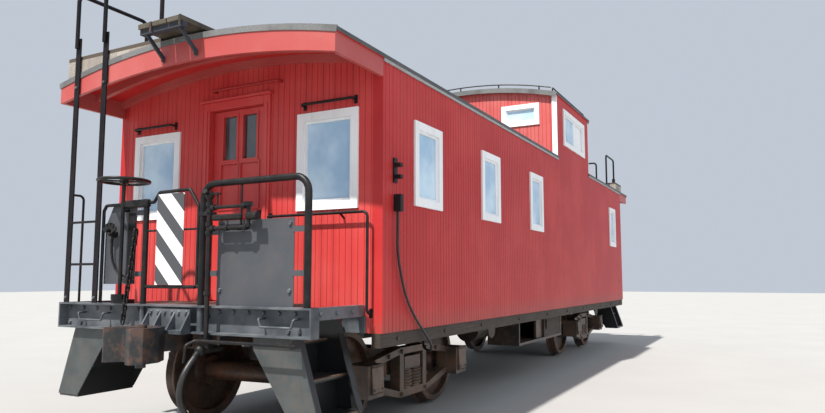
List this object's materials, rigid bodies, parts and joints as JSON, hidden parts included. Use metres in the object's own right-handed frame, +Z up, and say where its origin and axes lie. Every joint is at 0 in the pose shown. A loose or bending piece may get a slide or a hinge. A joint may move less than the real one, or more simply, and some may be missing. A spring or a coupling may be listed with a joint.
{
  "type": "railway caboose",
  "caption": "Wooden railway caboose with a cupola, end platforms, steps and roof ladders, on two swivelling arch bar trucks with free-turning wheels.",
  "frame": {"origin": "middle of the car at the lowest points of the wheel flanges", "axes": "+X along the car towards the far end, -X the pictured end, -Y the pictured side, +Z up"},
  "size_m": [11.2778, 3.004, 4.0549],
  "materials": {
    "sheathing": "painted red, vertical V-groove boards",
    "white_trim": "painted white, weathered",
    "window_glass": "clear, dusty",
    "roofing": "grey roofing, weathered",
    "planks": "bare weathered planks",
    "red_trim": "painted red, gloss",
    "black_iron": "painted black, worn",
    "grey_plate": "painted dark grey",
    "under_iron": "black paint under brown dust and rust",
    "brown_timber": "weathered brown",
    "truck_iron": "rusty brown",
    "wheel_steel": "rust brown, worn tread",
    "hose_rubber": "matt black",
    "coupling_iron": "rusty casting"
  },
  "bodies": {
    "carbody": {"air_hose_far": "hose_rubber", "air_hose_near": "hose_rubber", "air_valves": "black_iron", "brake_gear": "under_iron", "brake_stands": "black_iron", "coupler_far": "black_iron", "coupler_near": "black_iron", "cross_arms": "under_iron", "cupola_ends": "sheathing", "cupola_rails": "black_iron", "cupola_roof": "roofing", "cupola_side_far": "sheathing", "cupola_side_near": "sheathing", "cupola_window_frames": "white_trim", "end_fittings": "black_iron", "end_sills": "black_iron", "end_wall_far": "sheathing", "end_wall_near": "sheathing", "end_window_frames": "white_trim", "fascias": "red_trim", "floor": "brown_timber", "grab_irons": "black_iron", "hose_coupling_far": "coupling_iron", "hose_coupling_near": "coupling_iron", "ladder_walks": "planks", "ladders": "black_iron", "platforms": "black_iron", "railing_panels": "grey_plate", "railings": "black_iron", "roof_far": "roofing", "roof_near": "roofing", "roof_walk_far": "planks", "roof_walk_near": "planks", "side_brackets": "black_iron", "side_cable_far": "hose_rubber", "side_cable_near": "hose_rubber", "side_sills": "brown_timber", "side_wall_far": "sheathing", "side_wall_near": "sheathing", "side_window_frames": "white_trim", "steps": "black_iron", "tool_boxes": "grey_plate", "underframe": "under_iron", "window_glass": "window_glass"},
    "near_truck": {"truck_near": "truck_iron"},
    "near_outer_wheelset": {"wheelset_near_outer": "wheel_steel"},
    "near_inner_wheelset": {"wheelset_near_inner": "wheel_steel"},
    "far_truck": {"truck_far": "truck_iron"},
    "far_outer_wheelset": {"wheelset_far_outer": "wheel_steel"},
    "far_inner_wheelset": {"wheelset_far_inner": "wheel_steel"},
    "near_end_door": {"end_door_near": "red_trim", "door_glass_near": "window_glass"},
    "far_end_door": {"end_door_far": "red_trim", "door_glass_far": "window_glass"},
    "near_box_door": {"box_door_near": "grey_plate"},
    "far_box_door": {"box_door_far": "grey_plate"}
  },
  "joints": [
    {"name": "near_truck_swivel", "type": "hinge", "parent": "carbody", "child": "near_truck", "pos_m": [-3.24, 0, 0.66], "axis": [0, 0, 1], "range_deg": [-3, 3]},
    {"name": "near_outer_wheels_turn", "type": "hinge", "parent": "near_truck", "child": "near_outer_wheelset", "pos_m": [-4.078, 0, 0.447], "axis": [0, 1, 0], "continuous": true},
    {"name": "near_inner_wheels_turn", "type": "hinge", "parent": "near_truck", "child": "near_inner_wheelset", "pos_m": [-2.402, 0, 0.447], "axis": [0, 1, 0], "continuous": true},
    {"name": "far_truck_swivel", "type": "hinge", "parent": "carbody", "child": "far_truck", "pos_m": [3.24, 0, 0.66], "axis": [0, 0, 1], "range_deg": [-3, 3]},
    {"name": "far_outer_wheels_turn", "type": "hinge", "parent": "far_truck", "child": "far_outer_wheelset", "pos_m": [4.078, 0, 0.447], "axis": [0, 1, 0], "continuous": true},
    {"name": "far_inner_wheels_turn", "type": "hinge", "parent": "far_truck", "child": "far_inner_wheelset", "pos_m": [2.402, 0, 0.447], "axis": [0, 1, 0], "continuous": true},
    {"name": "near_end_door_swing", "type": "hinge", "parent": "carbody", "child": "near_end_door", "pos_m": [-4.451, 0.303, 1.9], "axis": [0, 0, 1], "range_deg": [0, 90]},
    {"name": "far_end_door_swing", "type": "hinge", "parent": "carbody", "child": "far_end_door", "pos_m": [4.451, -0.303, 1.9], "axis": [0, 0, 1], "range_deg": [0, 90]},
    {"name": "near_box_door_slide", "type": "slide", "parent": "carbody", "child": "near_box_door", "axis": [-1, 0, 0], "range_m": [0, 0.98]},
    {"name": "far_box_door_slide", "type": "slide", "parent": "carbody", "child": "far_box_door", "axis": [-1, 0, 0], "range_m": [0, 0.98]}
  ]
}
